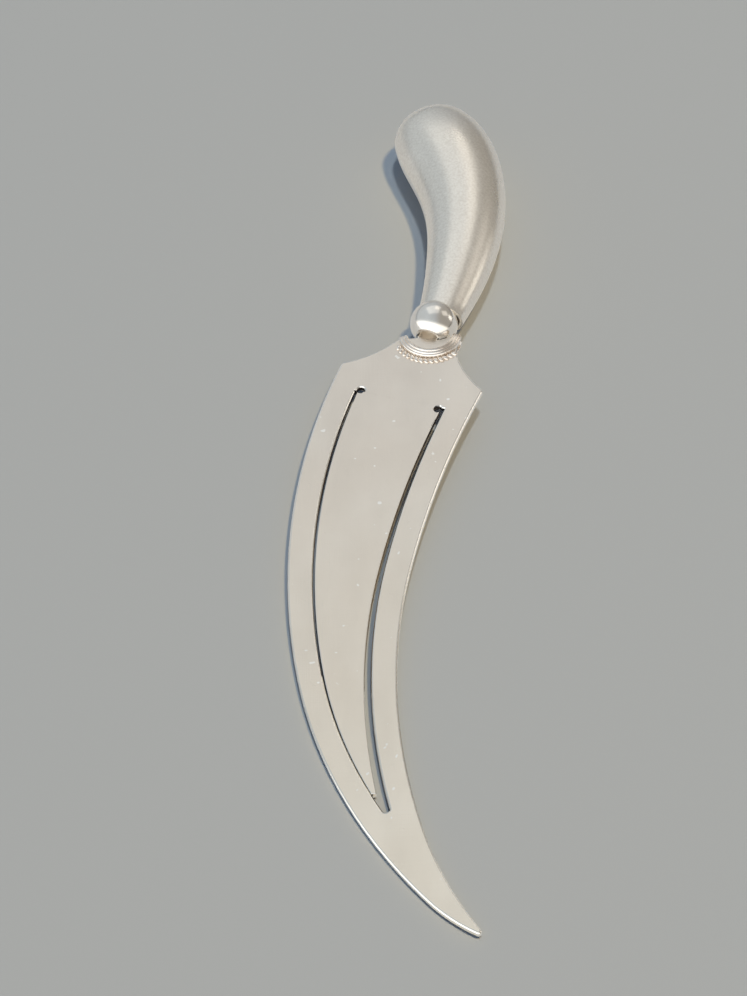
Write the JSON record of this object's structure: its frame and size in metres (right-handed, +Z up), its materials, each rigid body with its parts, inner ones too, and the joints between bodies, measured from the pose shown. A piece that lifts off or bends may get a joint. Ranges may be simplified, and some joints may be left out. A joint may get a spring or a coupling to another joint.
{
  "type": "page clip bookmark",
  "caption": "Dagger-shaped silver page clip bookmark: pierced curved blade with a spring tongue, ball bolster, crescent guard with rope border and a hollow pistol-grip handle.",
  "frame": {"origin": "centre of the bookmark's box on the table that it lies on", "axes": "+Y from the blade's tip to the handle's head, +X to the right seen from the front, +Z up from the table, on the front of the sheet"},
  "size_m": [0.0212, 0.0982, 0.0078],
  "materials": {
    "satin_silver": "satin",
    "polished_silver": "polished",
    "bright_silver": "gloss",
    "stamped_silver": "satin",
    "cement": "matte"
  },
  "bodies": {
    "blade_and_handle": {"blade": "satin_silver", "ball": "polished_silver", "guard_front": "bright_silver", "guard_rear": "bright_silver", "rope_border_front": "bright_silver", "rope_border_rear": "bright_silver", "handle_front_shell": "stamped_silver", "handle_rear_shell": "stamped_silver", "handle_filling": "cement"},
    "page_tongue": {"tongue": "satin_silver"}
  },
  "joints": [
    {"name": "tongue_flex", "type": "hinge", "parent": "blade_and_handle", "child": "page_tongue", "pos_m": [-0.0002, 0.00847, 0.00232], "axis": [-0.949, 0.3111, -0.0517], "range_deg": [-6, 6], "stiffness_Nm_per_rad": 0.5}
  ]
}
